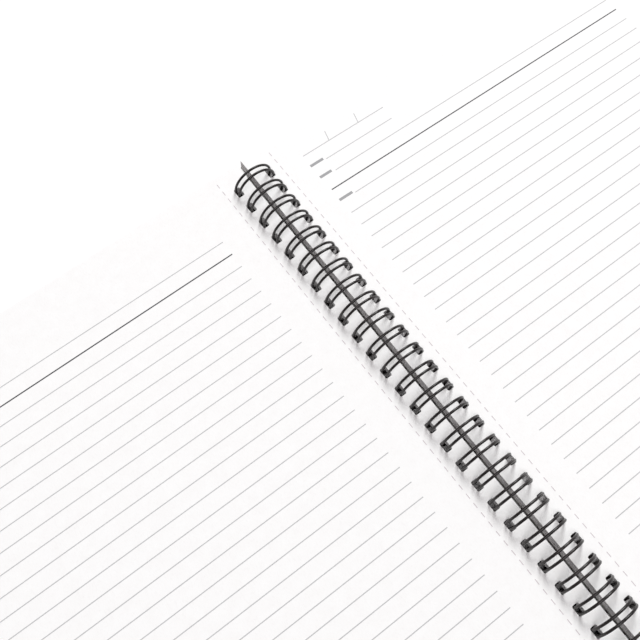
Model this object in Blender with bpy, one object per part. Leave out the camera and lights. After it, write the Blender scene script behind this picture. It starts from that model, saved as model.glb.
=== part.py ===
"""Twin-loop wirebound notebook lying open flat.

Metres. +Y runs along the spine towards the head of the pages, -X is the left
page, +X the right page, +Z is up. The floor is z = 0 and the spine is x = 0.
Every sheet, bundle and cover turns about one line, the hinge line, which is
parallel to Y and lies just above the axis of the wire loops.
"""

import math

import bmesh
import bpy
from mathutils import Vector

MM = 0.001

# Sheets
SHEET_HEIGHT = 241.3 * MM
SHEET_WIDTH = 184.2 * MM
BOUND_EDGE = 1.0 * MM
CORNER_RADIUS = 6.0 * MM
CORNER_STEPS = 3

# Punching and binding
LOOP_COUNT = 27
LOOP_PITCH = 25.4 / 3.0 * MM
LOOP_OFFSET = -1.1 * MM
HOLE_NEAR = 4.8 * MM
HOLE_FAR = 9.0 * MM
HOLE_LENGTH = 4.2 * MM

# Twin-loop wire
WIRE_RADIUS = 0.5 * MM
LOOP_RADIUS = 8.25 * MM
STRAND_GAP = 2.6 * MM
AXIS_HEIGHT = 8.75 * MM
ROOT_ANGLE = -98.0
TIP_ANGLE = 251.0
STRAND_STEPS = 15
BEND_STEPS = 2
WIRE_SIDES = 6

# Stack of one side, measured down from the hinge line
HINGE_HEIGHT = 9.05 * MM
FIRST_LEVEL = 0.15 * MM
GAP = 0.2 * MM
LEAF_COUNT = 4
LEAF_THICKNESS = 0.2 * MM
BUNDLE_COUNT = 5
BUNDLE_THICKNESS = 0.38 * MM
COVER_THICKNESS = 0.8 * MM

SIDES = (("left", -1.0, "front_cover"), ("right", 1.0, "back_cover"))


def clear_scene():
    for obj in list(bpy.data.objects):
        bpy.data.objects.remove(obj, do_unlink=True)


def make_material(name, color, roughness, metallic=0.0):
    material = bpy.data.materials.new(name)
    material.use_nodes = True
    shader = material.node_tree.nodes["Principled BSDF"]
    shader.inputs["Base Color"].default_value = (*color, 1.0)
    shader.inputs["Roughness"].default_value = roughness
    shader.inputs["Metallic"].default_value = metallic
    material.diffuse_color = (*color, 1.0)
    return material


def add_object(name, mesh, material, origin):
    mesh.materials.append(material)
    obj = bpy.data.objects.new(name, mesh)
    obj.location = origin
    bpy.context.scene.collection.objects.link(obj)
    return obj


def stack_depth():
    """Depth of the outer face of a cover below the hinge line."""
    depth = FIRST_LEVEL
    depth += LEAF_COUNT * (LEAF_THICKNESS + GAP)
    depth += BUNDLE_COUNT * (BUNDLE_THICKNESS + GAP)
    return depth + COVER_THICKNESS


def droop_angle():
    """Angle that brings the outer edge of a cover down to the floor."""
    depth = stack_depth()
    reach = BOUND_EDGE + SHEET_WIDTH
    return math.asin(HINGE_HEIGHT / math.hypot(depth, reach)) - math.atan2(depth, reach)


def outline(side):
    """Outer edge of a sheet in the plane of the sheet, anticlockwise from above."""
    near = BOUND_EDGE
    far = BOUND_EDGE + SHEET_WIDTH
    half = SHEET_HEIGHT / 2.0
    points = [(near, -half)]
    for centre_y, start in ((-half + CORNER_RADIUS, -90.0), (half - CORNER_RADIUS, 0.0)):
        for step in range(CORNER_STEPS + 1):
            angle = math.radians(start + 90.0 * step / CORNER_STEPS)
            x = far - CORNER_RADIUS + CORNER_RADIUS * math.cos(angle)
            points.append((x, centre_y + CORNER_RADIUS * math.sin(angle)))
    points.append((near, half))
    if side < 0:
        points = [(-x, y) for x, y in reversed(points)]
    return points


def hole(side, index):
    """One punched hole, anticlockwise from above."""
    centre = loop_y(index)
    low, high = sorted((side * HOLE_NEAR, side * HOLE_FAR))
    return [
        (low, centre - HOLE_LENGTH / 2.0),
        (high, centre - HOLE_LENGTH / 2.0),
        (high, centre + HOLE_LENGTH / 2.0),
        (low, centre + HOLE_LENGTH / 2.0),
    ]


def loop_y(index):
    """Height of one loop along the spine: the row sits a little nearer the foot."""
    return LOOP_OFFSET + ((LOOP_COUNT - 1) / 2.0 - index) * LOOP_PITCH


def plate_mesh(name, side, top, thickness):
    """A punched sheet whose upper face lies at depth `top` below the hinge line."""
    rings = [outline(side)] + [hole(side, i) for i in range(LOOP_COUNT)]
    flat = bmesh.new()
    edges = []
    for ring in rings:
        verts = [flat.verts.new((x, y, 0.0)) for x, y in ring]
        for start, end in zip(verts, verts[1:] + verts[:1]):
            edges.append(flat.edges.new((start, end)))
    bmesh.ops.triangle_fill(flat, use_beauty=True, use_dissolve=False, edges=edges)
    flat.verts.index_update()
    points = [(v.co.x, v.co.y) for v in flat.verts]
    triangles = []
    for face in flat.faces:
        a, b, c = (v.index for v in face.verts)
        ax, ay = points[a]
        bx, by = points[b]
        cx, cy = points[c]
        turn = (bx - ax) * (cy - ay) - (by - ay) * (cx - ax)
        triangles.append((a, b, c) if turn > 0 else (a, c, b))
    flat.free()

    angle = droop_angle()
    vertices = []
    for depth in (top, top + thickness):
        for x, y in points:
            across = abs(x)
            reach = across * math.cos(angle) - depth * math.sin(angle)
            drop = across * math.sin(angle) + depth * math.cos(angle)
            vertices.append((side * reach, y, -drop))
    count = len(points)
    faces = list(triangles)
    faces += [(a + count, c + count, b + count) for a, b, c in triangles]
    start = 0
    for number, ring in enumerate(rings):
        size = len(ring)
        for i in range(size):
            a = start + i
            b = start + (i + 1) % size
            if number == 0:
                faces.append((b, a, a + count, b + count))
            else:
                faces.append((a, b, b + count, a + count))
        start += size
    mesh = bpy.data.meshes.new(name)
    mesh.from_pydata(vertices, [], faces)
    mesh.validate()
    mesh.update()
    return mesh


def on_loop(angle, y):
    turn = math.radians(angle)
    return Vector((LOOP_RADIUS * math.cos(turn), y, LOOP_RADIUS * math.sin(turn)))


def wire_path():
    """Centre line of the wire: out along one strand, round the tip, back, and on."""
    bend = STRAND_GAP / 2.0
    bend_angle = math.degrees(bend / LOOP_RADIUS)
    tip_start = TIP_ANGLE - bend_angle
    root_start = ROOT_ANGLE + bend_angle
    path = []
    for index in range(LOOP_COUNT):
        centre = loop_y(index)
        near = centre + bend
        away = centre - bend
        span = tip_start - root_start
        strand = [root_start + span * i / STRAND_STEPS for i in range(STRAND_STEPS + 1)]
        if index == 0:
            path.append(on_loop(ROOT_ANGLE, near))
        path += [on_loop(angle, near) for angle in strand]
        for step in range(1, 2 * BEND_STEPS):
            turn = math.pi * step / (2 * BEND_STEPS)
            angle = tip_start + bend_angle * math.sin(turn)
            path.append(on_loop(angle, centre + bend * math.cos(turn)))
        path += [on_loop(angle, away) for angle in reversed(strand)]
        if index == LOOP_COUNT - 1:
            path.append(on_loop(ROOT_ANGLE, away))
            continue
        for step in range(1, BEND_STEPS + 1):
            turn = 0.5 * math.pi * step / BEND_STEPS
            angle = root_start - bend_angle * math.sin(turn)
            path.append(on_loop(angle, away - bend * (1.0 - math.cos(turn))))
        following = loop_y(index + 1) + bend
        for step in range(BEND_STEPS):
            turn = 0.5 * math.pi * (BEND_STEPS - step) / BEND_STEPS
            angle = root_start - bend_angle * math.sin(turn)
            path.append(on_loop(angle, following + bend * (1.0 - math.cos(turn))))
    return path


def wire_mesh(name):
    """A round tube along the wire path, with a section turned to face outwards."""
    path = wire_path()
    mesh = bmesh.new()
    rings = []
    for i, point in enumerate(path):
        before = path[max(i - 1, 0)]
        after = path[min(i + 1, len(path) - 1)]
        along = (after - before).normalized()
        outward = Vector((point.x, 0.0, point.z)).normalized()
        outward = (outward - along * outward.dot(along)).normalized()
        sideways = along.cross(outward)
        first = (point - before).normalized() if i else along
        half_turn = min(math.acos(max(-1.0, min(1.0, first.dot(along)))), 1.0)
        in_plane = (first - along * first.dot(along)) if i else Vector()
        ring = []
        for k in range(WIRE_SIDES):
            turn = 2.0 * math.pi * k / WIRE_SIDES
            offset = outward * math.cos(turn) + sideways * math.sin(turn)
            if in_plane.length > 1e-6:
                axis = in_plane.normalized()
                stretch = 1.0 / math.cos(half_turn) - 1.0
                offset = offset + axis * offset.dot(axis) * stretch
            ring.append(mesh.verts.new(point + offset * WIRE_RADIUS))
        rings.append(ring)
    for ring, following in zip(rings, rings[1:]):
        for k in range(WIRE_SIDES):
            n = (k + 1) % WIRE_SIDES
            mesh.faces.new((ring[k], ring[n], following[n], following[k]))
    mesh.faces.new(list(reversed(rings[0])))
    mesh.faces.new(rings[-1])
    bmesh.ops.recalc_face_normals(mesh, faces=mesh.faces)
    if mesh.calc_volume(signed=True) < 0:
        bmesh.ops.reverse_faces(mesh, faces=mesh.faces)
    data = bpy.data.meshes.new(name)
    mesh.to_mesh(data)
    mesh.free()
    return data


def shade_round(obj):
    obj.data.shade_smooth()
    obj.data.set_sharp_from_angle(angle=math.radians(75.0))


def build_side(word, side, cover_name, paper, card):
    """Leaves, bundles and cover of one side, from the top down."""
    hinge = (0.0, 0.0, HINGE_HEIGHT)
    level = FIRST_LEVEL
    plates = []
    for number in range(1, LEAF_COUNT + 1):
        plates.append((f"{word}_leaf_{number}", level, LEAF_THICKNESS, paper))
        level += LEAF_THICKNESS + GAP
    for number in range(1, BUNDLE_COUNT + 1):
        plates.append((f"{word}_bundle_{number}", level, BUNDLE_THICKNESS, paper))
        level += BUNDLE_THICKNESS + GAP
    plates.append((cover_name, level, COVER_THICKNESS, card))
    for name, top, thickness, material in plates:
        mesh = plate_mesh(name, side, top, thickness)
        own = material.copy()
        own.name = name
        add_object(name, mesh, own, hinge)


def main():
    clear_scene()
    coating = make_material("twin_loop_wire", (0.035, 0.027, 0.024), 0.32, 0.0)
    paper = make_material("paper_stock", (0.93, 0.93, 0.92), 0.85)
    card = make_material("cover_stock", (0.03, 0.03, 0.034), 0.6)
    wire = add_object("twin_loop_wire", wire_mesh("twin_loop_wire"), coating, (0.0, 0.0, AXIS_HEIGHT))
    shade_round(wire)
    for word, side, cover_name in SIDES:
        build_side(word, side, cover_name, paper, card)


main()
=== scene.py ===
"""Looks for the open twin-loop notebook: wire, ruled sheets, covers, floor, light and camera.

The sheets are drawn in the CAD's own frame: the spine runs along Y, and every sheet and cover
turns about one hinge line. Names below give sizes in metres, written as millimetres times MM.
"""

import math
import random

import bmesh
import bpy
from mathutils import Matrix, Vector


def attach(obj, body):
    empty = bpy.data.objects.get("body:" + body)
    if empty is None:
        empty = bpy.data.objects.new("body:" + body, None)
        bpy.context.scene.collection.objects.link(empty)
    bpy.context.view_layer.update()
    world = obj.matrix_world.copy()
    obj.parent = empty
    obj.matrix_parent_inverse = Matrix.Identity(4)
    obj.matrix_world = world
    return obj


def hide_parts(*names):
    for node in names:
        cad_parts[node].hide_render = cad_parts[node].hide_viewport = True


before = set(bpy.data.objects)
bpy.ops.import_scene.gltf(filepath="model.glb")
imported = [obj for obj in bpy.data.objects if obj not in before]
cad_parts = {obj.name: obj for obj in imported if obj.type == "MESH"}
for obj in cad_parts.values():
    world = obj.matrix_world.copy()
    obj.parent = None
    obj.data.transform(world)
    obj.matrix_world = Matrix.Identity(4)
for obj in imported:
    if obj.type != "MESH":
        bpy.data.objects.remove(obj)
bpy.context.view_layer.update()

MM = 0.001

# Binding, as in the CAD
LOOP_COUNT = 27
LOOP_PITCH = 25.4 / 3.0 * MM
LOOP_OFFSET = -1.1 * MM
WIRE_RADIUS = 0.5 * MM
LOOP_RADIUS = 8.25 * MM
STRAND_GAP = 2.6 * MM
AXIS_HEIGHT = 8.75 * MM
ROOT_ANGLE = -98.0
TIP_ANGLE = 251.0

# Sheets, as in the CAD
HINGE_HEIGHT = 9.05 * MM
BOUND_EDGE = 1.0 * MM
SHEET_WIDTH = 184.2 * MM
SHEET_HEIGHT = 241.3 * MM
CORNER_RADIUS = 6.0 * MM
HOLE_NEAR = 4.8 * MM
HOLE_FAR = 9.0 * MM
HOLE_LENGTH = 4.2 * MM
STACK_DEPTH = 5.45 * MM
FIRST_LEVEL = 0.15 * MM
GAP = 0.2 * MM
LEAF_COUNT = 4
LEAF_THICKNESS = 0.2 * MM
BUNDLE_COUNT = 5
BUNDLE_THICKNESS = 0.38 * MM
COVER_THICKNESS = 0.8 * MM
REACH = BOUND_EDGE + SHEET_WIDTH
DROOP = math.asin(HINGE_HEIGHT / math.hypot(STACK_DEPTH, REACH)) - math.atan2(STACK_DEPTH, REACH)

# Sheets that only the visual model has
SHEETS_IN_LEAF = 1
SHEETS_IN_BUNDLE = 4
CLEARANCE = 0.06 * MM
SHEET_GAP = 0.012 * MM
FAR_EDGE_SCATTER = 0.25 * MM
HEAD_SCATTER = 0.2 * MM
BOUND_EDGE_SCATTER = 0.15 * MM
CORNER_STEPS = 8
RIGHT_SEED = 11
SHUFFLE_SEED = 7

# Holes that only the visual model has: the sheets hang staggered along the round wire
TOP_HOLE_NEAR = 6.2 * MM
INNER_PLAY = 0.45 * MM
OUTER_PLAY = 0.15 * MM
HOLE_EASE = 0.35 * MM

# Smooth wire
STRAND_STEPS = 40
BEND_STEPS = 6
WIRE_SIDES = 12
END_SHRINK = 0.82

# Printing and the painted shade of the perforation, measured from the spine and from the first loop
FIRST_LOOP = LOOP_OFFSET + (LOOP_COUNT - 1) / 2.0 * LOOP_PITCH
RULE_PITCH = 6.407 * MM
RULE_START = -1.34 * MM
RULE_END = 181.0 * MM
LEFT_MARGIN = 25.05 * MM
RIGHT_MARGIN = 22.8 * MM
PERFORATION = 12.65 * MM
RULES = 34
HEADER_RULE = 3
LIGHT_RULE = 0.38 * MM
DARK_RULE = 0.5 * MM
FIELD_START = 29.6 * MM
TOP_FIELD_END = 64.0 * MM
SECOND_FIELD_END = 63.4 * MM
TICKS = (36.0 * MM, 51.0 * MM)
TICK_RISE = 4.5 * MM
TICK_LEAN = 1.2 * MM
TICK_LIFT = 0.2 * MM
LABEL_START = 22.4 * MM
LABEL_LIFT = 0.2 * MM
LABEL_HEIGHT = 1.2 * MM
LABELS = ((1, 6.3 * MM), (2, 5.7 * MM), (4, 6.4 * MM))
DASH = 2.1 * MM
DASH_PERIOD = 3.9 * MM
DASH_WIDTH = 0.34 * MM
INK_HEIGHT = 0.014 * MM
INK_SUNK = 0.02 * MM

# Material slots of a sheet, and of a cover; a sheet's edge slots and its perforation slot hold
# painted shade
PAPER, LIGHT_INK, DARK_INK, LABEL_INK, SLIT_SHADE, SHADED_CUT_EDGE, SHADED_BOUND_SIDE = range(7)
LINER, CORE, OUTER_FACE = range(3)

# Studio
FLOOR_REACH = 12.0
FLOOR_LEVEL = -0.05 * MM
LIGHT_SIZE = 1.6
KEY_PLACE = (2.3, 2.2, 3.0)
KEY_TARGET = (0.0, 0.03, 0.0)
KEY_POWER = 166.0
KEY_COLOR = (0.985, 1.0, 0.992)
OVERHEAD_PLACE = (-0.9, -0.7, 3.3)
OVERHEAD_TARGET = (0.0, 0.0, 0.0)
OVERHEAD_POWER = 45.5
OVERHEAD_COLOR = (1.0, 0.972, 0.98)
WORLD_COLOR = (1.0, 0.965, 0.975, 1.0)
WORLD_STRENGTH = 0.155

# Camera, as fitted to the photo
CAMERA_AZIMUTH = -38.186
CAMERA_ELEVATION = 68.021
CAMERA_ROLL = 1.516
SENSOR_WIDTH = 36.0
FOCAL_LENGTH = 47.151
CLIP_START = 0.01
CAMERA_PLACE = (-0.086438, FIRST_LOOP - 0.154094, HINGE_HEIGHT + 0.288337)


def loop_y(index):
    """Height of one loop along the spine."""
    return FIRST_LOOP - index * LOOP_PITCH


# ---------------------------------------------------------------- materials


def new_material(name):
    """A fresh material with its node tree and its one shader."""
    material = bpy.data.materials.new(name)
    material.use_nodes = True
    tree = material.node_tree
    return material, tree, tree.nodes["Principled BSDF"]


def link(tree, a, b):
    tree.links.new(a, b)


def add_noise(tree, scale, detail, rough, coords):
    """A noise texture's value, with scale in features per metre."""
    node = tree.nodes.new("ShaderNodeTexNoise")
    node.inputs["Scale"].default_value = scale
    node.inputs["Detail"].default_value = detail
    node.inputs["Roughness"].default_value = rough
    link(tree, coords, node.inputs["Vector"])
    return node.outputs["Fac"]


def add_ramp(tree, source, stops):
    """Turns a value into a colour by stops of (place, colour)."""
    ramp = tree.nodes.new("ShaderNodeValToRGB")
    elements = ramp.color_ramp.elements
    while len(elements) < len(stops):
        elements.new(0.5)
    for element, (place, color) in zip(elements, stops):
        element.position = place
        element.color = (*color, 1.0)
    link(tree, source, ramp.inputs["Fac"])
    return ramp.outputs["Color"]


def add_range(tree, source, low, high, start=0.0, end=1.0):
    """Maps a value from start..end onto low..high."""
    node = tree.nodes.new("ShaderNodeMapRange")
    node.inputs["From Min"].default_value = start
    node.inputs["From Max"].default_value = end
    node.inputs["To Min"].default_value = low
    node.inputs["To Max"].default_value = high
    link(tree, source, node.inputs["Value"])
    return node.outputs["Result"]


def add_bump(tree, shader, height, strength, distance):
    """Feeds a height into the shader's normal, with distance in metres."""
    bump = tree.nodes.new("ShaderNodeBump")
    bump.inputs["Strength"].default_value = strength
    bump.inputs["Distance"].default_value = distance
    link(tree, height, bump.inputs["Height"])
    link(tree, bump.outputs["Normal"], shader.inputs["Normal"])


def object_coords(tree, shift=(0.0, 0.0, 0.0), stretch=(1.0, 1.0, 1.0)):
    """Object coordinates, moved so that two sheets don't look alike, or stretched along an axis."""
    coords = tree.nodes.new("ShaderNodeTexCoord")
    mapping = tree.nodes.new("ShaderNodeMapping")
    mapping.inputs["Location"].default_value = shift
    mapping.inputs["Scale"].default_value = stretch
    link(tree, coords.outputs["Object"], mapping.inputs["Vector"])
    return mapping.outputs["Vector"]


def paper_material(name, seed):
    """White writing paper: faint cloudy formation, short fibres and a fine tooth."""
    material, tree, shader = new_material(name)
    shift = (0.37 * seed, 0.21 * seed, 0.0)
    coords = object_coords(tree, shift)
    cloud = add_noise(tree, 240.0, 3.0, 0.55, coords)
    fibre = add_noise(tree, 2600.0, 2.0, 0.6, object_coords(tree, shift, (1.0, 0.35, 1.0)))
    tone = add_ramp(tree, cloud, ((0.3, (0.935, 0.925, 0.925)), (0.7, (0.955, 0.95, 0.952))))
    speck = add_ramp(tree, fibre, ((0.25, (0.965, 0.96, 0.96)), (0.5, (1.0, 1.0, 1.0))))
    mix = tree.nodes.new("ShaderNodeMix")
    mix.data_type = "RGBA"
    mix.blend_type = "MULTIPLY"
    mix.inputs["Factor"].default_value = 1.0
    link(tree, tone, mix.inputs["A"])
    link(tree, speck, mix.inputs["B"])
    link(tree, mix.outputs["Result"], shader.inputs["Base Color"])
    link(tree, add_range(tree, fibre, 0.78, 0.92), shader.inputs["Roughness"])
    shader.inputs["Specular IOR Level"].default_value = 0.25
    add_bump(tree, shader, fibre, 0.12, 0.02 * MM)
    return material


def shaded_edge_material(name, dark, light):
    """Cut edges of thin sheets: darker than a face as painted shade, and streaked along the layers.
    """
    material, tree, shader = new_material(name)
    streaks = add_noise(tree, 1100.0, 3.0, 0.6, object_coords(tree, stretch=(0.3, 0.3, 5.0)))
    tone = add_ramp(tree, streaks, ((0.3, dark), (0.7, light)))
    link(tree, tone, shader.inputs["Base Color"])
    shader.inputs["Roughness"].default_value = 0.9
    shader.inputs["Specular IOR Level"].default_value = 0.2
    add_bump(tree, shader, streaks, 0.25, 0.04 * MM)
    return material


def ink_and_shade_material(name, dark, light):
    """Offset ink on paper, also used for the painted shade of the perforation cuts: the tone breaks
    up a little with the tooth of the sheet.
    """
    material, tree, shader = new_material(name)
    coords = object_coords(tree)
    grain = add_noise(tree, 3200.0, 2.0, 0.7, coords)
    link(tree, add_ramp(tree, grain, ((0.3, dark), (0.75, light))), shader.inputs["Base Color"])
    link(tree, add_range(tree, grain, 0.6, 0.8), shader.inputs["Roughness"])
    shader.inputs["Specular IOR Level"].default_value = 0.25
    return material


def wire_material():
    """Nylon-coated steel wire: dark brown-black, satin, with fine unevenness and rubbed spots."""
    material, tree, shader = new_material("wire_coating")
    coords = object_coords(tree)
    broad = add_noise(tree, 90.0, 3.0, 0.5, coords)
    fine = add_noise(tree, 1500.0, 3.0, 0.6, coords)
    stops = (
        (0.3, (0.012, 0.009, 0.009)),
        (0.6, (0.019, 0.014, 0.014)),
        (0.8, (0.030, 0.024, 0.023)),
    )
    tone = add_ramp(tree, broad, stops)
    link(tree, tone, shader.inputs["Base Color"])
    link(tree, add_range(tree, fine, 0.24, 0.42, 0.3, 0.7), shader.inputs["Roughness"])
    shader.inputs["Coat Weight"].default_value = 0.1
    shader.inputs["Coat Roughness"].default_value = 0.2
    shader.inputs["IOR"].default_value = 1.45
    add_bump(tree, shader, fine, 0.15, 0.03 * MM)
    return material


def board_material(name, seed):
    """Dark cover board with a fine pressed grain and slightly rubbed high spots."""
    material, tree, shader = new_material(name)
    coords = object_coords(tree, (0.5 * seed, 0.3 * seed, 0.0))
    cells = tree.nodes.new("ShaderNodeTexVoronoi")
    cells.feature = "DISTANCE_TO_EDGE"
    cells.inputs["Scale"].default_value = 900.0
    link(tree, coords, cells.inputs["Vector"])
    cloud = add_noise(tree, 60.0, 4.0, 0.6, coords)
    grain = add_noise(tree, 1800.0, 3.0, 0.6, coords)
    tone = add_ramp(tree, cloud, ((0.3, (0.024, 0.024, 0.027)), (0.75, (0.031, 0.031, 0.035))))
    link(tree, tone, shader.inputs["Base Color"])
    link(tree, add_range(tree, grain, 0.45, 0.7), shader.inputs["Roughness"])
    height = tree.nodes.new("ShaderNodeMath")
    height.operation = "MULTIPLY_ADD"
    height.inputs[1].default_value = 0.7
    link(tree, cells.outputs["Distance"], height.inputs[0])
    link(tree, grain, height.inputs[2])
    add_bump(tree, shader, height.outputs["Value"], 0.35, 0.08 * MM)
    return material


def liner_material(name):
    """The pale uncoated liner on the inner face of a cover."""
    material, tree, shader = new_material(name)
    coords = object_coords(tree)
    cloud = add_noise(tree, 180.0, 3.0, 0.6, coords)
    fibre = add_noise(tree, 2200.0, 2.0, 0.6, coords)
    tone = add_ramp(tree, cloud, ((0.3, (0.70, 0.69, 0.68)), (0.7, (0.76, 0.75, 0.74))))
    link(tree, tone, shader.inputs["Base Color"])
    link(tree, add_range(tree, fibre, 0.75, 0.92), shader.inputs["Roughness"])
    add_bump(tree, shader, fibre, 0.15, 0.03 * MM)
    return material


def core_material(name):
    """Cut edge of grey-brown board, with streaks along its layers."""
    material, tree, shader = new_material(name)
    streaks = add_noise(tree, 900.0, 3.0, 0.6, object_coords(tree, stretch=(0.2, 0.2, 6.0)))
    tone = add_ramp(tree, streaks, ((0.3, (0.26, 0.235, 0.21)), (0.7, (0.40, 0.37, 0.34))))
    link(tree, tone, shader.inputs["Base Color"])
    shader.inputs["Roughness"].default_value = 0.9
    add_bump(tree, shader, streaks, 0.3, 0.05 * MM)
    return material


def floor_material():
    """Plain pale floor with a very faint unevenness."""
    material, tree, shader = new_material("floor_white")
    coords = object_coords(tree)
    cloud = add_noise(tree, 6.0, 2.0, 0.5, coords)
    tone = add_ramp(tree, cloud, ((0.2, (0.985, 0.985, 0.985)), (0.8, (0.995, 0.995, 0.995))))
    link(tree, tone, shader.inputs["Base Color"])
    shader.inputs["Roughness"].default_value = 0.9
    shader.inputs["Specular IOR Level"].default_value = 0.1
    return material


# ---------------------------------------------------------------- the wire


def on_loop(angle, y):
    """A point on the cylinder of the loops, by its angle round the axis in degrees."""
    turn = math.radians(angle)
    return Vector((LOOP_RADIUS * math.cos(turn), y, AXIS_HEIGHT + LOOP_RADIUS * math.sin(turn)))


def wire_path(strand_steps, bend_steps):
    """Centre line of the one continuous wire, from the first root to the last."""
    bend = STRAND_GAP / 2.0
    bend_angle = math.degrees(bend / LOOP_RADIUS)
    tip_start = TIP_ANGLE - bend_angle
    root_start = ROOT_ANGLE + bend_angle
    span = tip_start - root_start
    strand = [root_start + span * i / strand_steps for i in range(strand_steps + 1)]
    path = []
    for index in range(LOOP_COUNT):
        centre = loop_y(index)
        near = centre + bend
        away = centre - bend
        if index == 0:
            path.append(on_loop(ROOT_ANGLE, near))
        path += [on_loop(angle, near) for angle in strand]
        for step in range(1, 2 * bend_steps):
            turn = math.pi * step / (2 * bend_steps)
            angle = tip_start + bend_angle * math.sin(turn)
            path.append(on_loop(angle, centre + bend * math.cos(turn)))
        path += [on_loop(angle, away) for angle in reversed(strand)]
        if index == LOOP_COUNT - 1:
            path.append(on_loop(ROOT_ANGLE, away))
            continue
        for step in range(1, bend_steps + 1):
            turn = 0.5 * math.pi * step / bend_steps
            angle = root_start - bend_angle * math.sin(turn)
            path.append(on_loop(angle, away - bend * (1.0 - math.cos(turn))))
        following = loop_y(index + 1) + bend
        for step in range(bend_steps):
            turn = 0.5 * math.pi * (bend_steps - step) / bend_steps
            angle = root_start - bend_angle * math.sin(turn)
            path.append(on_loop(angle, following + bend * (1.0 - math.cos(turn))))
    return path


def tube(name, path, radius, sides):
    """A closed round tube along a path that lies on the loop cylinder."""
    mesh = bmesh.new()
    rings = []
    last = len(path) - 1
    for i, point in enumerate(path):
        along = (path[min(i + 1, last)] - path[max(i - 1, 0)]).normalized()
        outward = Vector((point.x, 0.0, point.z - AXIS_HEIGHT)).normalized()
        outward = (outward - along * outward.dot(along)).normalized()
        sideways = along.cross(outward)
        shrink = END_SHRINK if i in (0, last) else 1.0
        ring = []
        for k in range(sides):
            turn = 2.0 * math.pi * k / sides
            offset = outward * math.cos(turn) + sideways * math.sin(turn)
            ring.append(mesh.verts.new(point + offset * radius * shrink))
        rings.append(ring)
    for ring, following in zip(rings, rings[1:]):
        for k in range(sides):
            n = (k + 1) % sides
            mesh.faces.new((ring[k], ring[n], following[n], following[k]))
    mesh.faces.new(list(reversed(rings[0])))
    mesh.faces.new(rings[-1])
    bmesh.ops.recalc_face_normals(mesh, faces=mesh.faces)
    if mesh.calc_volume(signed=True) < 0:
        bmesh.ops.reverse_faces(mesh, faces=mesh.faces)
    data = bpy.data.meshes.new(name)
    mesh.to_mesh(data)
    mesh.free()
    data.shade_smooth()
    obj = bpy.data.objects.new(name, data)
    bpy.context.scene.collection.objects.link(obj)
    return obj


def make_wire():
    """The one bent wire, smoother than the CAD's."""
    path = wire_path(STRAND_STEPS, BEND_STEPS)
    wire = tube("loop_wire", path, WIRE_RADIUS, WIRE_SIDES)
    wire.data.materials.append(wire_material())
    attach(wire, "wire")
    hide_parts("twin_loop_wire")


# ---------------------------------------------------------------- the sheets


def sheet_outline(inset_far, shift_y, inset_near):
    """Outer edge of one sheet as (distance from spine, y), anticlockwise for the right side."""
    near = BOUND_EDGE + inset_near
    far = BOUND_EDGE + SHEET_WIDTH - inset_far
    low = -SHEET_HEIGHT / 2.0 + max(shift_y, 0.0)
    high = SHEET_HEIGHT / 2.0 + min(shift_y, 0.0)
    points = [(near, low)]
    for centre_y, start in ((low + CORNER_RADIUS, -90.0), (high - CORNER_RADIUS, 0.0)):
        for step in range(CORNER_STEPS + 1):
            angle = math.radians(start + 90.0 * step / CORNER_STEPS)
            x = far - CORNER_RADIUS + CORNER_RADIUS * math.cos(angle)
            points.append((x, centre_y + CORNER_RADIUS * math.sin(angle)))
    points.append((near, high))
    return points


def hole_span(top, bottom):
    """Near and far edge of a sheet's holes, from the depths of its two faces."""
    lift = HINGE_HEIGHT - AXIS_HEIGHT
    inner = math.sqrt(LOOP_RADIUS ** 2 - (bottom + lift) ** 2) - WIRE_RADIUS - INNER_PLAY
    outer = math.sqrt(LOOP_RADIUS ** 2 - max(top - lift, 0.0) ** 2) + WIRE_RADIUS + OUTER_PLAY
    return min(inner, TOP_HOLE_NEAR), min(outer, HOLE_FAR)


def hole_outline(index, near, far):
    """A punched square hole with slightly eased corners."""
    centre = loop_y(index)
    ease = HOLE_EASE
    low, high = centre - HOLE_LENGTH / 2.0, centre + HOLE_LENGTH / 2.0
    return [
        (near + ease, low),
        (far - ease, low),
        (far, low + ease),
        (far, high - ease),
        (far - ease, high),
        (near + ease, high),
        (near, high - ease),
        (near, low + ease),
    ]


def fill_flat(rings):
    """Triangles of a flat face with holes, as (points, triangles) anticlockwise."""
    flat = bmesh.new()
    edges = []
    for ring in rings:
        verts = [flat.verts.new((x, y, 0.0)) for x, y in ring]
        for start, end in zip(verts, verts[1:] + verts[:1]):
            edges.append(flat.edges.new((start, end)))
    bmesh.ops.triangle_fill(flat, use_beauty=True, use_dissolve=False, edges=edges)
    flat.verts.index_update()
    points = [(v.co.x, v.co.y) for v in flat.verts]
    triangles = []
    for face in flat.faces:
        a, b, c = (v.index for v in face.verts)
        ax, ay = points[a]
        bx, by = points[b]
        cx, cy = points[c]
        turn = (bx - ax) * (cy - ay) - (by - ay) * (cx - ax)
        triangles.append((a, b, c) if turn > 0 else (a, c, b))
    flat.free()
    return points, triangles


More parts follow.
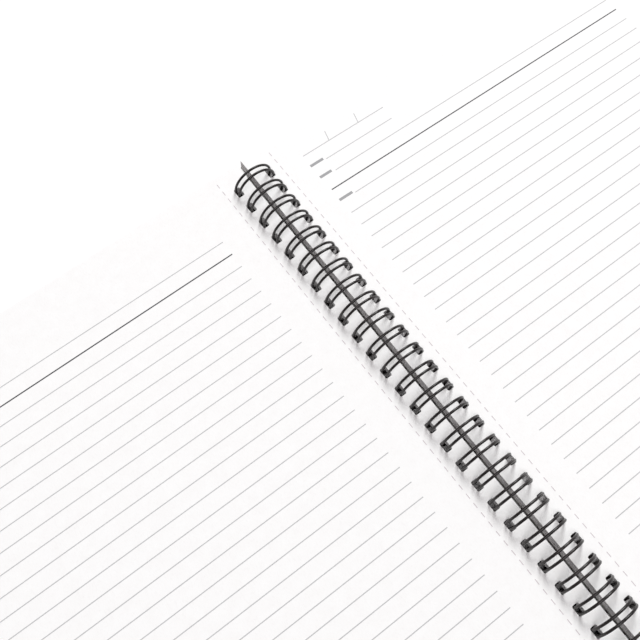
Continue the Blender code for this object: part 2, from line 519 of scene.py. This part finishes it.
class Builder:
    """Collects closed shapes of one side of the open notebook into one mesh."""

    def __init__(self, side):
        self.side = side
        self.vertices = []
        self.faces = []
        self.slots = []

    def place(self, across, y, depth):
        """A point from its distance along the sheet, its y and its depth under the hinge line."""
        reach = across * math.cos(DROOP) - depth * math.sin(DROOP)
        drop = across * math.sin(DROOP) + depth * math.cos(DROOP)
        return (self.side * reach, y, HINGE_HEIGHT - drop)

    def add_faces(self, faces, slot):
        for face in faces:
            self.faces.append(face if self.side > 0 else tuple(reversed(face)))
            self.slots.append(slot)

    def plate(self, rings, top, thickness, slots):
        """A punched sheet, with slots for its upper face, lower face, cut edges and bound edge."""
        upper, lower, cut, bound = slots
        points, triangles = fill_flat(rings)
        base = len(self.vertices)
        count = len(points)
        for depth in (top, top + thickness):
            self.vertices += [self.place(x, y, depth) for x, y in points]
        self.add_faces([(a + base, b + base, c + base) for a, b, c in triangles], upper)
        under = base + count
        self.add_faces([(a + under, c + under, b + under) for a, b, c in triangles], lower)
        start = base
        for number, ring in enumerate(rings):
            size = len(ring)
            for i in range(size):
                a = start + i
                b = start + (i + 1) % size
                if number:
                    self.add_faces([(a, b, b + count, a + count)], upper)
                else:
                    edge = bound if i == size - 1 else cut
                    self.add_faces([(b, a, a + count, b + count)], edge)
            start += size

    def strip(self, corners, level, up, slot):
        """A thin raised patch of ink, with four corners as (distance from spine, y)."""
        base = len(self.vertices)
        if up:
            depths = (level - INK_HEIGHT, level + INK_SUNK)
        else:
            depths = (level - INK_SUNK, level + INK_HEIGHT)
        for depth in depths:
            self.vertices += [self.place(x, y, depth) for x, y in corners]
        t = [base + i for i in range(4)]
        b = [base + 4 + i for i in range(4)]
        faces = [tuple(t), tuple(reversed(b))]
        for i in range(4):
            n = (i + 1) % 4
            faces.append((t[n], t[i], b[i], b[n]))
        self.add_faces(faces, slot)

    def rule(self, start, end, y, width, level, up, slot):
        """A printed line across the sheet."""
        low, high = y - width / 2.0, y + width / 2.0
        self.strip([(start, low), (end, low), (end, high), (start, high)], level, up, slot)

    def finish(self, name, materials):
        """The collected shapes as one object."""
        mesh = bpy.data.meshes.new(name)
        mesh.from_pydata(self.vertices, [], self.faces)
        for material in materials:
            mesh.materials.append(material)
        mesh.polygons.foreach_set("material_index", self.slots)
        mesh.validate()
        mesh.update()
        obj = bpy.data.objects.new(name, mesh)
        bpy.context.scene.collection.objects.link(obj)
        return obj


def rule_y(number):
    return FIRST_LOOP + RULE_START - RULE_PITCH * number


def label(builder, y, length, level, up):
    """A plain grey bar in the place of a printed field label."""
    low = y + LABEL_LIFT
    high = low + LABEL_HEIGHT
    end = LABEL_START + length
    corners = [(LABEL_START, low), (end, low), (end, high), (LABEL_START, high)]
    builder.strip(corners, level, up, LABEL_INK)


def paint_slit_shade(builder, level, up):
    """A row of short grey dashes along the sheet, beside the spine: painted shade of the
    perforation cuts.
    """
    near = PERFORATION - DASH_WIDTH / 2.0
    far = PERFORATION + DASH_WIDTH / 2.0
    count = int(SHEET_HEIGHT / DASH_PERIOD)
    start = -SHEET_HEIGHT / 2.0 + (SHEET_HEIGHT - count * DASH_PERIOD) / 2.0
    for i in range(count):
        y = start + i * DASH_PERIOD
        corners = [(near, y), (far, y), (far, y + DASH), (near, y + DASH)]
        builder.strip(corners, level, up, SLIT_SHADE)


def print_reverse(builder, level, up):
    """The back of a sheet: a light rule, a dark header rule, then writing lines."""
    for number in range(2, RULES):
        dark = number == HEADER_RULE
        width = DARK_RULE if dark else LIGHT_RULE
        slot = DARK_INK if dark else LIGHT_INK
        builder.rule(LEFT_MARGIN, RULE_END, rule_y(number), width, level, up, slot)


def print_front(builder, level, up):
    """The front of a sheet: short heading fields, a dark header rule, then writing lines."""
    lines = [(RIGHT_MARGIN, TOP_FIELD_END), (FIELD_START, SECOND_FIELD_END)]
    lines += [(FIELD_START, RULE_END), (RIGHT_MARGIN, RULE_END), (FIELD_START, RULE_END)]
    lines += [(RIGHT_MARGIN, RULE_END)] * (RULES - len(lines))
    for number, (start, end) in enumerate(lines):
        dark = number == HEADER_RULE
        width = DARK_RULE if dark else LIGHT_RULE
        slot = DARK_INK if dark else LIGHT_INK
        builder.rule(start, end, rule_y(number), width, level, up, slot)
    for x in TICKS:
        y = rule_y(0) + TICK_LIFT
        near, far = x - LIGHT_RULE / 2.0, x + LIGHT_RULE / 2.0
        head = [(far + TICK_LEAN, y + TICK_RISE), (near + TICK_LEAN, y + TICK_RISE)]
        corners = [(near, y), (far, y)] + head
        builder.strip(corners, level, up, LIGHT_INK)
    for number, length in LABELS:
        label(builder, rule_y(number), length, level, up)


def print_sheet(builder, side, top, bottom):
    """Both faces: a right-hand sheet shows its front upwards, a left-hand one its back."""
    upper, lower = (print_front, print_reverse) if side > 0 else (print_reverse, print_front)
    upper(builder, top, True)
    paint_slit_shade(builder, top, True)
    lower(builder, bottom, False)
    paint_slit_shade(builder, bottom, False)


def make_sheets(shuffle):
    """Every leaf and bundle as ruled sheets, each standing for its CAD node."""
    light = ink_and_shade_material("rule_ink", (0.49, 0.49, 0.50), (0.62, 0.62, 0.63))
    dark = ink_and_shade_material("header_ink", (0.05, 0.05, 0.055), (0.12, 0.12, 0.125))
    greek = ink_and_shade_material("label_ink", (0.30, 0.30, 0.31), (0.46, 0.46, 0.47))
    # Perforation dashes: pinkish grey, painted shade of the cut slits rather than ink.
    slit_shade_material = ink_and_shade_material("perforation_painted_shade", (0.58, 0.53, 0.55), (0.72, 0.67, 0.69))
    # Outer cut edges: greyed as painted shade of the gaps between the sheets.
    cut = shaded_edge_material("paper_cut_edge_painted_shade", (0.62, 0.60, 0.59), (0.84, 0.825, 0.815))
    # Bound edges: much darker, a painted shade of the deep gutter between the two stacks.
    bound = shaded_edge_material("paper_bound_edge_painted_shade", (0.31, 0.29, 0.285), (0.46, 0.435, 0.43))
    for word, side in (("left", -1), ("right", 1)):
        level = FIRST_LEVEL
        stack = [("leaf", n, LEAF_THICKNESS) for n in range(1, LEAF_COUNT + 1)]
        stack += [("bundle", n, BUNDLE_THICKNESS) for n in range(1, BUNDLE_COUNT + 1)]
        for number, (kind, n, thickness) in enumerate(stack):
            node = f"{word}_{kind}_{n}"
            builder = Builder(side)
            sheets = SHEETS_IN_LEAF if kind == "leaf" else SHEETS_IN_BUNDLE
            step = (thickness + GAP - CLEARANCE) / sheets
            each = step - SHEET_GAP
            for k in range(sheets):
                inset = shuffle.uniform(0.0, FAR_EDGE_SCATTER)
                shift = shuffle.uniform(-HEAD_SCATTER, HEAD_SCATTER)
                back = shuffle.uniform(0.0, BOUND_EDGE_SCATTER)
                top = level + k * step
                near, far = hole_span(top, top + each)
                holes = [hole_outline(i, near, far) for i in range(LOOP_COUNT)]
                rings = [sheet_outline(inset, shift, back)] + holes
                builder.plate(rings, top, each, (PAPER, PAPER, SHADED_CUT_EDGE, SHADED_BOUND_SIDE))
            last = level + (sheets - 1) * step + each
            print_sheet(builder, side, level, last)
            seed = number + (0 if side < 0 else RIGHT_SEED)
            paper = paper_material(f"{node}_paper", seed)
            materials = (paper, light, dark, greek, slit_shade_material, cut, bound)
            sheet = builder.finish(f"{node}_sheets", materials)
            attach(sheet, f"{node}_body")
            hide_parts(node)
            level += thickness + GAP


def make_covers():
    """Cover boards: a dark grained outer face, a pale liner inside, bare board at the edges."""
    liner = liner_material("cover_liner")
    core = core_material("cover_core")
    holes = [hole_outline(i, HOLE_NEAR, HOLE_FAR) for i in range(LOOP_COUNT)]
    top = STACK_DEPTH - COVER_THICKNESS
    for seed, (node, side) in enumerate((("front_cover", -1), ("back_cover", 1))):
        builder = Builder(side)
        rings = [sheet_outline(0.0, 0.0, 0.0)] + holes
        builder.plate(rings, top, COVER_THICKNESS, (LINER, OUTER_FACE, CORE, CORE))
        face = board_material(f"{node}_face", seed)
        cover = builder.finish(f"{node}_board", (liner, core, face))
        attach(cover, f"{node}_body")
        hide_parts(node)


# ---------------------------------------------------------------- stage, light, camera


def make_floor():
    """A plain square floor, just under the part."""
    mesh = bmesh.new()
    signs = ((-1.0, -1.0), (1.0, -1.0), (1.0, 1.0), (-1.0, 1.0))
    corners = [(x * FLOOR_REACH, y * FLOOR_REACH, FLOOR_LEVEL) for x, y in signs]
    mesh.faces.new([mesh.verts.new(corner) for corner in corners])
    data = bpy.data.meshes.new("floor")
    mesh.to_mesh(data)
    mesh.free()
    floor = bpy.data.objects.new("floor", data)
    bpy.context.scene.collection.objects.link(floor)
    data.materials.append(floor_material())


def area_light(name, place, target, power, color):
    """A square softbox turned towards its target."""
    data = bpy.data.lights.new(name, "AREA")
    data.shape = "SQUARE"
    data.size = LIGHT_SIZE
    data.energy = power
    data.color = color
    light = bpy.data.objects.new(name, data)
    light.location = place
    light.rotation_euler = (Vector(target) - Vector(place)).to_track_quat("-Z", "Y").to_euler()
    bpy.context.scene.collection.objects.link(light)


def make_light():
    """Soft studio light: a key from the head of the right page and a softbox overhead."""
    world = bpy.data.worlds.new("studio")
    world.use_nodes = True
    background = world.node_tree.nodes["Background"]
    background.inputs["Color"].default_value = WORLD_COLOR
    background.inputs["Strength"].default_value = WORLD_STRENGTH
    bpy.context.scene.world = world
    area_light("key", KEY_PLACE, KEY_TARGET, KEY_POWER, KEY_COLOR)
    area_light("overhead", OVERHEAD_PLACE, OVERHEAD_TARGET, OVERHEAD_POWER, OVERHEAD_COLOR)


def make_camera():
    """The photo's own viewpoint: above the left page, looking down towards the upper right."""
    azimuth = math.radians(CAMERA_AZIMUTH)
    elevation = math.radians(CAMERA_ELEVATION)
    roll = math.radians(CAMERA_ROLL)
    data = bpy.data.cameras.new("camera")
    data.sensor_width = SENSOR_WIDTH
    data.lens = FOCAL_LENGTH
    data.clip_start = CLIP_START
    camera = bpy.data.objects.new("camera", data)
    bpy.context.scene.collection.objects.link(camera)
    back = Vector((
        math.sin(azimuth) * math.cos(elevation),
        -math.cos(azimuth) * math.cos(elevation),
        math.sin(elevation),
    ))
    right = Vector((math.cos(azimuth), math.sin(azimuth), 0.0))
    up = back.cross(right)
    rolled_right = right * math.cos(roll) + up * math.sin(roll)
    rolled_up = up * math.cos(roll) - right * math.sin(roll)
    turn = Matrix((rolled_right, rolled_up, back)).transposed().to_4x4()
    camera.matrix_world = Matrix.Translation(Vector(CAMERA_PLACE)) @ turn
    bpy.context.scene.camera = camera


make_camera()
make_wire()
make_sheets(random.Random(SHUFFLE_SEED))
make_covers()
make_floor()
make_light()
bpy.context.scene.view_settings.view_transform = "Standard"
